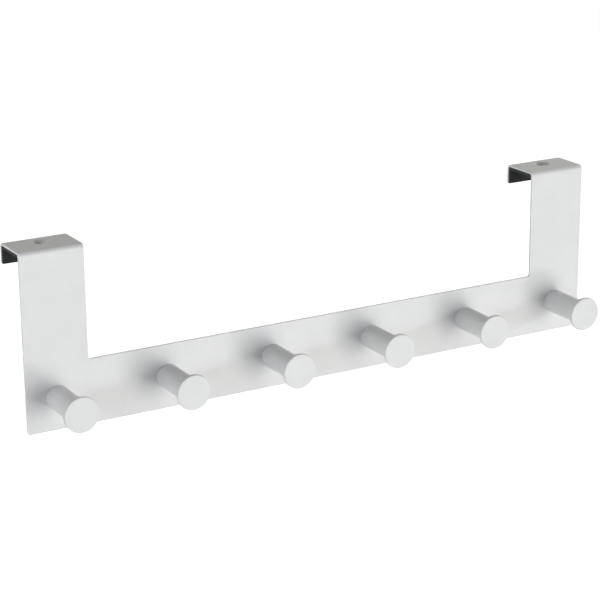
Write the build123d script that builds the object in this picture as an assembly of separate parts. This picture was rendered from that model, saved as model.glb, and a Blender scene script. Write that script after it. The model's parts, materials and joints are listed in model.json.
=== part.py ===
from build123d import *
from math import cos, radians, tan
import os

# Over door hook rail: a folded steel plate, six turned pegs and the lining of its two clamps.
# Millimetres, +Z up, +X along the rail and +Y into the door. The origin is in the middle of the
# door's top edge: half way along the rail, half way across the door gap, at the face of the lining.

# Plate
overall_width = 345.0
overall_height = 96.0
strap_width = 35.0
rail_height = 35.0
sheet = 1.2
bend_radius = 1.2
corner_radius = 1.5
notch_radius = 1.2
lip_corner_radius = 0.6
edge_round = 0.25

# Clamps: the space for the door's edge, the lip behind it and the lining
door_gap = 20.0
lip_drop = 11.0
pad_thickness = 1.6
pad_inset = 0.1
pad_bend_clearance = 1.0
pad_corner_relief = 0.4

# Screw hole in the tab of each clamp, with its countersink pressed into the sheet as a dimple
screw_hole = 5.0
screw_sink = 9.0
screw_sink_angle = 100.0
screw_land = 0.5
screw_setback = 14.5
pad_hole_clearance = 0.5

# Pegs: shaft and head in front, riveted spigot through the plate
peg_count = 6
peg_reach = 30.0
shaft_diameter = 13.0
head_diameter = 19.0
head_thickness = 2.0
head_front_round = 0.6
head_back_round = 0.3
spigot_diameter = 6.0
rivet_diameter = 8.0
rivet_depth = 0.6
spigot_clearance = 0.05

# Places that follow from the sizes above
strap_back = -door_gap / 2
strap_front = strap_back - sheet
pad_face = door_gap / 2
lip_inner = pad_face + pad_thickness
lip_outer = lip_inner + sheet
tab_under = pad_thickness
clamp_top = tab_under + sheet
lip_bottom = clamp_top - lip_drop
rail_bottom = clamp_top - overall_height
rail_top = rail_bottom + rail_height
strap_inner = overall_width / 2 - strap_width
strap_centre = overall_width / 2 - strap_width / 2
screw_y = strap_front + screw_setback
sink_slope = tan(radians(screw_sink_angle / 2))
sink_bottom = clamp_top - (screw_sink - screw_hole) / 2 / sink_slope
peg_pitch = 2 * strap_centre / (peg_count - 1)
peg_height = rail_bottom + rail_height / 2


def rectangle(left, right, low, high):
    """A flat rectangle given by its sides."""
    middle = Pos((left + right) / 2, (low + high) / 2)
    return middle * Rectangle(right - left, high - low)


def flat_blank():
    """The rail with its two straps, up to the level of the lips."""
    half = overall_width / 2
    outline = rectangle(-half, half, rail_bottom, rail_top)
    outline += rectangle(-half, -strap_inner, rail_bottom, lip_bottom)
    outline += rectangle(strap_inner, half, rail_bottom, lip_bottom)
    notches = outline.vertices().group_by(Axis.Y)[1]
    outline = fillet(notches, notch_radius)
    corners = outline.vertices().group_by(Axis.Y)[0]
    outline = fillet(corners, corner_radius)
    return extrude(Plane.XZ.offset(-strap_back) * outline, sheet)


def folded_clamp(centre_x):
    """The top of a strap: up, over the door's edge as a tab and down as a lip."""
    outer = rectangle(strap_front, lip_outer, lip_bottom, clamp_top)
    outer = fillet(outer.vertices().group_by(Axis.Y)[-1], bend_radius + sheet)
    inner = rectangle(strap_back, lip_inner, lip_bottom, tab_under)
    inner = fillet(inner.vertices().group_by(Axis.Y)[-1], bend_radius)
    section = Plane.YZ.offset(centre_x) * (outer - inner)
    clamp = extrude(section, strap_width / 2, both=True)
    lip_corners = clamp.edges().filter_by(Axis.Y).group_by(Axis.Z)[0].group_by(Axis.Y)[-1]
    return fillet(lip_corners, lip_corner_radius)


def square_edges(solid):
    """The edges where two faces meet square, which the coat rounds off."""
    faces = solid.faces()
    found = ShapeList()
    for edge in solid.edges():
        middle = edge @ 0.5
        normals = [face.normal_at(middle) for face in faces if edge in face.edges()]
        if abs(normals[0].dot(normals[1])) < 0.5:
            found.append(edge)
    return found


def spigot_outline(grow):
    """Half section of a riveted spigot, from the plate's front at zero to its back, grown all round."""
    straight = spigot_diameter / 2 + grow
    flared = rivet_diameter / 2 + grow
    return [(0, sheet), (flared, sheet), (straight, sheet - rivet_depth), (straight, 0)]


def turned(points):
    """A solid turned about the Y axis from a half section."""
    return revolve(make_face(Polyline(*points, close=True)), Axis.Y)


def dimple_radius(height):
    """Radius of the dimple's outside at a height: its cone, one sheet thickness further out."""
    wall = sheet / cos(radians(screw_sink_angle / 2))
    return screw_hole / 2 + (height - sink_bottom) * sink_slope + wall


def dimple():
    """The outside of a pressed countersink, from its lower end up into the sheet of the tab."""
    low = sink_bottom - screw_land
    high = tab_under + sheet / 2
    cone = Cone(dimple_radius(low), dimple_radius(high), high - low)
    return Pos(0, 0, (low + high) / 2) * cone


def hook_plate():
    plate = flat_blank() + folded_clamp(-strap_centre) + folded_clamp(strap_centre)
    plate = fillet(square_edges(plate), min(edge_round, 0.4 * sheet))
    screw = CounterSinkHole(screw_hole / 2, screw_sink / 2, 2 * clamp_top, screw_sink_angle)
    for side in (-1, 1):
        plate += Pos(side * strap_centre, screw_y) * dimple()
        plate -= Pos(side * strap_centre, screw_y, clamp_top) * screw
    rivet_hole = turned(spigot_outline(spigot_clearance) + [(0, 0)])
    for x in peg_places():
        plate -= Pos(x, strap_front, peg_height) * rivet_hole
    return plate


def peg_places():
    return [(number - (peg_count - 1) / 2) * peg_pitch for number in range(peg_count)]


def peg():
    """One turned peg on the Y axis, its shoulder at zero and its head towards -Y."""
    shaft = shaft_diameter / 2
    head = head_diameter / 2
    neck = head_thickness - peg_reach
    outline = spigot_outline(0)
    outline += [(shaft, 0), (shaft, neck), (head, neck), (head, -peg_reach), (0, -peg_reach)]
    section = make_face(Polyline(*outline, close=True))
    rounds = {neck: head_back_round, -peg_reach: head_front_round}
    for place, size in rounds.items():
        corner = section.vertices().sort_by_distance((head, place, 0))[0]
        section = fillet(corner, size)
    return revolve(section, Axis.Y)


def door_pad(centre_x):
    """The lining of one clamp: under the tab and down the inside of the lip, pierced for the screw."""
    front = strap_back + bend_radius + pad_bend_clearance
    bottom = lip_bottom + pad_inset
    outline = [(front, 0), (pad_face, 0), (pad_face, bottom), (lip_inner, bottom)]
    outline += [(lip_inner, tab_under), (front, tab_under)]
    section = make_face(Polyline(*outline, close=True))
    fold = section.vertices().sort_by_distance((lip_inner, tab_under, 0))[0]
    section = fillet(fold, bend_radius + pad_corner_relief)
    width = strap_width - 2 * pad_inset
    pad = extrude(Plane.YZ.offset(centre_x) * section, width / 2, both=True)
    hole = Cylinder(dimple_radius(tab_under) + pad_hole_clearance, 4 * pad_thickness)
    return pad - Pos(centre_x, screw_y, 0) * hole


os.makedirs("parts", exist_ok=True)
nodes = {
    "hook_plate": hook_plate(),
    "left_door_pad": door_pad(-strap_centre),
    "right_door_pad": door_pad(strap_centre),
}
for number, x in enumerate(peg_places(), start=1):
    nodes[f"peg_{number}"] = Pos(x, strap_front, peg_height) * peg()
for name, shape in nodes.items():
    export_step(shape, f"parts/{name}.step")
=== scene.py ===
"""Looks of an over door hook rail: its coat, its foam lining, the light and the camera. Metres."""
import json
import math

import bmesh
import bpy
from mathutils import Matrix, Vector


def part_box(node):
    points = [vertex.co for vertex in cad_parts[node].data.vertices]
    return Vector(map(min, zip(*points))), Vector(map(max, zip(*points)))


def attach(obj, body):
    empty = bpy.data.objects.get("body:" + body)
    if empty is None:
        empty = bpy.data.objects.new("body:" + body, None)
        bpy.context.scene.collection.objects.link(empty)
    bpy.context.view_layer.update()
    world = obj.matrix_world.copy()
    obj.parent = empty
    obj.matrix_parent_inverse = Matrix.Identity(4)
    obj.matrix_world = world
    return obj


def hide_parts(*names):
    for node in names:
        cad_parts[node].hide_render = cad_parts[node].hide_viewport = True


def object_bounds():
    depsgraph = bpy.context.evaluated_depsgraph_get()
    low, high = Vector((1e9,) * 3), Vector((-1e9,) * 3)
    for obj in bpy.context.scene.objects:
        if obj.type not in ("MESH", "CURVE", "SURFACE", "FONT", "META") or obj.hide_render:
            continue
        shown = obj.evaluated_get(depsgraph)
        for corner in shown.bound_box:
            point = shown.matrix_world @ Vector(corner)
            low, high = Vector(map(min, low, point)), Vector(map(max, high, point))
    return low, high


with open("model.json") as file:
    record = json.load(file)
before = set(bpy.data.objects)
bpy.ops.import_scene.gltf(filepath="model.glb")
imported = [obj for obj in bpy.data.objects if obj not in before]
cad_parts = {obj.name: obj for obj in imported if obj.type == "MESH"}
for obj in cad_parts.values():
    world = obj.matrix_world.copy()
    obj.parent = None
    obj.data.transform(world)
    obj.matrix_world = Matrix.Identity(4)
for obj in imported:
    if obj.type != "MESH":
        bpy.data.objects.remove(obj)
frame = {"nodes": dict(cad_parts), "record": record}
cad_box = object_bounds()

MM = 0.001
QUARTER_TURN = math.radians(90)

# Camera: where it stands, how it is turned and its focal length, for a square picture
IMAGE_SIDE = 600
SENSOR_WIDTH = 36.0
FOCAL_PIXELS = 2005.0
CAMERA_PLACE = (-0.51914, -0.90055, 0.27639)
CAMERA_YAW = math.radians(29.61)
CAMERA_PITCH = math.radians(17.56)
CAMERA_ROLL = math.radians(-0.58)

# The middle of a noise's range, over which colours and greys are spread
NOISE_LOW = 0.3
NOISE_HIGH = 0.7

# Powder coat: its colours and roughness, the fineness of its clouds, peel and grain, and how high
# the peel and the grain stand
COAT_DARK = (0.79, 0.79, 0.795, 1.0)
COAT_LIGHT = (0.82, 0.82, 0.82, 1.0)
COAT_SMOOTHEST = 0.40
COAT_ROUGHEST = 0.50
CLOUD_SCALE = 70.0
PEEL_SCALE = 650.0
GRAIN_SCALE = 4500.0
PEEL_HEIGHT = 0.010 * MM
GRAIN_HEIGHT = 0.0015 * MM

# Foam rubber: its greys, its roughness in the cells and on their walls, its gloss, the fineness of
# its cells and patches, and how deep the cells are
FOAM_DARK = 0.036
FOAM_LIGHT = 0.052
CELL_ROUGHNESS = 0.95
WALL_ROUGHNESS = 0.80
FOAM_GLOSS = 0.35
CELL_SCALE = 2600.0
PATCH_SCALE = 350.0
CELL_DEPTH = 0.12 * MM

# Foam strips: the rounding of their cut edges and folds, how far and how late their open face sinks
# towards the ends, and the steps of their mesh
FOAM_EDGE_ROUND = 0.45 * MM
FOAM_END_ROUND = 0.30 * MM
FOAM_CREASE_ROUND = 0.70 * MM
FOAM_FOLD_ROUND = 1.60 * MM
FOAM_CROWN = 0.15 * MM
FOAM_CROWN_POWER = 4
FOAM_SPANS = 24
ARC_STEPS = 6
SHARP_ANGLE = math.radians(40)

# Hole through each strip: how much wider its radius is than the screw hole's, and the punch that cuts it
FOAM_HOLE_MARGIN = 2.94 * MM
PUNCH_DEPTH = 20 * MM
PUNCH_SEGMENTS = 48

# Studio: the floor below the part, and what surfaces see of the world
FLOOR_DROP = 0.60
FLOOR_SIDE = 16.0
FLOOR_COLOUR = (0.85, 0.85, 0.85, 1.0)
FLOOR_GLOW = 0.98
WORLD_LIGHT = 0.03

# Soft boxes around the part: degrees to the right of the front and above level, distance, width and
# height in metres, how bright each alone makes a white surface that faces it, and its tint
LAMP_TARGET = Vector((0.0, -0.011, -0.05))
NEUTRAL = (1.0, 1.0, 1.0)
CREAM = (1.02, 1.0, 0.98)
WARM = (1.05, 1.03, 0.92)
COOL = (0.92, 1.01, 1.07)
LAMPS = {
    "front": (16.0, -5.0, 2.4, 1.47, 0.75, 0.324, CREAM),
    "high_front": (16.0, 8.0, 2.4, 0.75, 0.75, 0.123, CREAM),
    "low_front": (24.0, -19.5, 1.6, 0.5, 0.2, 0.09, NEUTRAL),
    "spot": (72.0, 10.0, 2.0, 0.07, 0.07, 0.20, COOL),
    "right": (120.0, 35.0, 3.0, 2.5, 1.1, 0.185, WARM),
    "left": (-67.5, 5.0, 1.6, 1.26, 0.8, 0.295, COOL),
    "left_back": (-105.0, 25.0, 1.6, 0.8, 0.8, 0.18, WARM),
    "back": (180.0, -12.0, 1.6, 1.0, 0.6, 0.33, NEUTRAL),
}


def mount(name):
    """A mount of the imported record."""
    return next(row for row in frame["record"]["mounts"] if row["name"] == name)


def add_node(tree, kind, **inputs):
    """A shader node with some of its inputs set, their names written with _ for a space."""
    node = tree.nodes.new("ShaderNode" + kind)
    for name, value in inputs.items():
        node.inputs[name.replace("_", " ")].default_value = value
    return node


def new_material(name):
    """A material with its node tree and its shader."""
    material = bpy.data.materials.new(name)
    material.use_nodes = True
    return material, material.node_tree, material.node_tree.nodes["Principled BSDF"]


def ramp(tree, source, low, high):
    """Colours or greys spread over the middle of a noise's range."""
    node = tree.nodes.new("ShaderNodeValToRGB")
    ends = node.color_ramp.elements
    ends[0].position = NOISE_LOW
    ends[1].position = NOISE_HIGH
    ends[0].color = low
    ends[1].color = high
    tree.links.new(source, node.inputs["Fac"])
    return node.outputs["Color"]


def grey(value):
    return (value, value, value, 1.0)


def powder_coat():
    """Satin white powder coat: slow waves like orange peel, a fine grain and a faint cloudiness."""
    material, tree, shader = new_material("powder_coat")
    link = tree.links.new
    place = tree.nodes.new("ShaderNodeTexCoord").outputs["Object"]
    clouds = add_node(tree, "TexNoise", Scale=CLOUD_SCALE, Detail=3.0)
    peel = add_node(tree, "TexNoise", Scale=PEEL_SCALE, Detail=2.0, Roughness=0.4)
    grain = add_node(tree, "TexNoise", Scale=GRAIN_SCALE, Detail=2.0)
    for noise in (clouds, peel, grain):
        link(place, noise.inputs["Vector"])
    waves = add_node(tree, "Bump", Strength=1.0, Distance=PEEL_HEIGHT)
    specks = add_node(tree, "Bump", Strength=1.0, Distance=GRAIN_HEIGHT)
    link(peel.outputs["Fac"], waves.inputs["Height"])
    link(grain.outputs["Fac"], specks.inputs["Height"])
    link(waves.outputs["Normal"], specks.inputs["Normal"])
    link(specks.outputs["Normal"], shader.inputs["Normal"])
    colour = ramp(tree, clouds.outputs["Fac"], COAT_DARK, COAT_LIGHT)
    satin = ramp(tree, grain.outputs["Fac"], grey(COAT_SMOOTHEST), grey(COAT_ROUGHEST))
    link(colour, shader.inputs["Base Color"])
    link(satin, shader.inputs["Roughness"])
    return material


def foam_rubber():
    """Matt black foam rubber with small open cells."""
    material, tree, shader = new_material("foam_rubber")
    link = tree.links.new
    place = tree.nodes.new("ShaderNodeTexCoord").outputs["Object"]
    cells = add_node(tree, "TexVoronoi", Scale=CELL_SCALE)
    patches = add_node(tree, "TexNoise", Scale=PATCH_SCALE, Detail=4.0)
    for texture in (cells, patches):
        link(place, texture.inputs["Vector"])
    pores = add_node(tree, "Bump", Strength=0.8, Distance=CELL_DEPTH)
    link(cells.outputs["Distance"], pores.inputs["Height"])
    link(pores.outputs["Normal"], shader.inputs["Normal"])
    colour = ramp(tree, patches.outputs["Fac"], grey(FOAM_DARK), grey(FOAM_LIGHT))
    matt = ramp(tree, cells.outputs["Distance"], grey(CELL_ROUGHNESS), grey(WALL_ROUGHNESS))
    link(colour, shader.inputs["Base Color"])
    link(matt, shader.inputs["Roughness"])
    shader.inputs["Specular IOR Level"].default_value = FOAM_GLOSS
    return material


def rounded(corners, radii):
    """A closed outline of square corners, each turned into an arc."""
    outline = []
    for number, (corner, radius) in enumerate(zip(corners, radii)):
        before = (corners[number - 1] - corner).normalized()
        after = (corners[(number + 1) % len(corners)] - corner).normalized()
        centre = corner + radius * (before + after)
        for step in range(ARC_STEPS + 1):
            angle = QUARTER_TURN * step / ARC_STEPS
            outline.append(centre - radius * (after * math.cos(angle) + before * math.sin(angle)))
    return outline


def foam_section(low, high, under, inset, sink):
    """The folded strip seen along the rail, drawn in by inset, and its open face by sink as well."""
    thick = high.z - under
    front, back = low.y + inset, high.y - inset
    bottom, top = low.z + inset, high.z - inset
    face = high.y - thick + inset + sink
    seat = under + inset + sink
    corners = [(front, seat), (face, seat), (face, bottom), (back, bottom), (back, top), (front, top)]
    cut = FOAM_EDGE_ROUND - inset
    radii = [cut, FOAM_CREASE_ROUND, cut, cut, FOAM_FOLD_ROUND - inset, cut]
    return rounded([Vector(corner) for corner in corners], radii)


def foam_stations(low, high):
    """Places along the strip, with the inset and the sink of its section there."""
    half = (high.x - low.x) / 2
    straight = half - FOAM_END_ROUND
    turns = [QUARTER_TURN * step / ARC_STEPS for step in range(1, ARC_STEPS + 1)]
    run = [straight * (2 * span / FOAM_SPANS - 1) for span in range(FOAM_SPANS + 1)]
    arc = [(FOAM_END_ROUND * math.sin(turn), FOAM_END_ROUND * (1 - math.cos(turn))) for turn in turns]
    end = [(straight + x, inset) for x, inset in arc]
    along = [(-x, inset) for x, inset in reversed(end)] + [(x, 0.0) for x in run] + end
    return [(x, inset, FOAM_CROWN * (x / half) ** FOAM_CROWN_POWER) for x, inset in along]


def foam_strip(name, node, material):
    """The soft lining of one clamp, in the place of its plain solid."""
    low, high = (Vector(corner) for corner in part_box(node))
    under = mount("door_edge")["pos_m"][2]
    centre = (low.x + high.x) / 2
    shape = bmesh.new()
    rings = []
    for x, inset, sink in foam_stations(low, high):
        section = foam_section(low, high, under, inset, sink)
        rings.append([shape.verts.new((centre + x, point.x, point.y)) for point in section])
    for ring, following in zip(rings, rings[1:]):
        for number in range(len(ring)):
            shape.faces.new((ring[number - 1], ring[number], following[number], following[number - 1]))
    shape.faces.new(rings[0])
    shape.faces.new(reversed(rings[-1]))
    bmesh.ops.recalc_face_normals(shape, faces=shape.faces)
    strip = new_object(name, shape)
    pierce(strip, centre)
    strip.data.materials.append(material)
    return strip


def new_object(name, shape):
    """An object in the scene with a finished bmesh as its mesh."""
    mesh = bpy.data.meshes.new(name)
    shape.to_mesh(mesh)
    shape.free()
    made = bpy.data.objects.new(name, mesh)
    bpy.context.collection.objects.link(made)
    return made


def pierce(strip, x):
    """Cuts the screw's clearance hole through a strip."""
    screws = mount("screws")
    radius = screws["dims"]["hole_r_mm"] * MM + FOAM_HOLE_MARGIN
    shape = bmesh.new()
    place = Matrix.Translation((x, screws["pos_m"][1], 0.0))
    size = {"radius1": radius, "radius2": radius, "depth": PUNCH_DEPTH}
    bmesh.ops.create_cone(shape, cap_ends=True, segments=PUNCH_SEGMENTS, matrix=place, **size)
    punch = new_object("punch", shape)
    cut = strip.modifiers.new("hole", "BOOLEAN")
    cut.object = punch
    cut.operation = "DIFFERENCE"
    cut.solver = "EXACT"
    depsgraph = bpy.context.evaluated_depsgraph_get()
    pierced = bpy.data.meshes.new_from_object(strip.evaluated_get(depsgraph))
    strip.modifiers.clear()
    strip.data = pierced
    bpy.data.objects.remove(punch)
    pierced.shade_smooth()
    pierced.set_sharp_from_angle(angle=SHARP_ANGLE)


def dress():
    """Gives every piece its finish."""
    coat, foam = powder_coat(), foam_rubber()
    for name, node in frame["nodes"].items():
        if not name.endswith("door_pad"):
            for slot in node.material_slots:
                slot.material = coat
    for side in ("left", "right"):
        strip = foam_strip(f"{side}_foam_strip", f"{side}_door_pad", foam)
        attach(strip, "root")
        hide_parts(f"{side}_door_pad")


def background_rays(tree):
    """1 for the rays that should see the white background: camera, glossy and transmission rays."""
    path = tree.nodes.new("ShaderNodeLightPath")
    kinds = [path.outputs[name] for name in ("Is Camera Ray", "Is Glossy Ray", "Is Transmission Ray")]
    total = kinds[0]
    for kind in kinds[1:]:
        most = tree.nodes.new("ShaderNodeMath")
        most.operation = "MAXIMUM"
        tree.links.new(total, most.inputs[0])
        tree.links.new(kind, most.inputs[1])
        total = most.outputs["Value"]
    return total


def white_world():
    """A world that is white as a background and gives a surface only a little light."""
    world = bpy.data.worlds.new("studio")
    world.use_nodes = True
    bpy.context.scene.world = world
    tree = world.node_tree
    seen = tree.nodes["Background"]
    seen.inputs["Color"].default_value = grey(1.0)
    lit = add_node(tree, "Background", Color=grey(1.0), Strength=WORLD_LIGHT)
    choice = tree.nodes.new("ShaderNodeMixShader")
    tree.links.new(background_rays(tree), choice.inputs["Fac"])
    tree.links.new(lit.outputs["Background"], choice.inputs[1])
    tree.links.new(seen.outputs["Background"], choice.inputs[2])
    tree.links.new(choice.outputs["Shader"], tree.nodes["World Output"].inputs["Surface"])


def floor():
    """A wide pale floor well below the part, with a glow that makes it white as a background."""
    material, tree, shader = new_material("pale_floor")
    shader.inputs["Base Color"].default_value = FLOOR_COLOUR
    shader.inputs["Roughness"].default_value = 1.0
    shader.inputs["Specular IOR Level"].default_value = 0.0
    shader.inputs["Emission Color"].default_value = grey(1.0)
    glow = tree.nodes.new("ShaderNodeMath")
    glow.operation = "MULTIPLY"
    glow.inputs[1].default_value = FLOOR_GLOW
    tree.links.new(background_rays(tree), glow.inputs[0])
    tree.links.new(glow.outputs["Value"], shader.inputs["Emission Strength"])
    bpy.ops.mesh.primitive_plane_add(size=FLOOR_SIDE, location=(0, 0, cad_box[0][2] - FLOOR_DROP))
    plane = bpy.context.object
    plane.name = "floor"
    plane.data.materials.append(material)


def soft_lamp(name, azimuth, elevation, distance, width, height, level, tint):
    """A rectangular soft box, turned to the part."""
    lamp = bpy.data.lights.new(name, "AREA")
    lamp.shape = "RECTANGLE"
    lamp.size = width
    lamp.size_y = height
    lamp.energy = level * (math.pi * distance) ** 2
    lamp.color = tint
    holder = bpy.data.objects.new(name, lamp)
    bpy.context.collection.objects.link(holder)
    aside = Matrix.Rotation(math.radians(azimuth), 3, "Z")
    upward = Matrix.Rotation(math.radians(-elevation), 3, "X")
    towards = aside @ upward @ Vector((0.0, -1.0, 0.0))
    holder.location = LAMP_TARGET + distance * towards
    holder.rotation_euler = towards.to_track_quat("Z", "Y").to_euler()


def light():
    """All the soft boxes and the world."""
    for name, lamp in LAMPS.items():
        soft_lamp(name, *lamp)
    white_world()


def camera():
    """The camera at the photograph's viewing angle."""
    lens = bpy.data.cameras.new("camera")
    lens.sensor_width = SENSOR_WIDTH
    lens.lens = FOCAL_PIXELS * SENSOR_WIDTH / IMAGE_SIDE
    eye = bpy.data.objects.new("camera", lens)
    bpy.context.collection.objects.link(eye)
    turn = Matrix.Rotation(-CAMERA_YAW, 4, "Z")
    turn = turn @ Matrix.Rotation(QUARTER_TURN - CAMERA_PITCH, 4, "X")
    turn = turn @ Matrix.Rotation(CAMERA_ROLL, 4, "Z")
    eye.matrix_world = Matrix.Translation(CAMERA_PLACE) @ turn
    bpy.context.scene.camera = eye


dress()
floor()
light()
camera()
bpy.context.scene.view_settings.view_transform = "Standard"
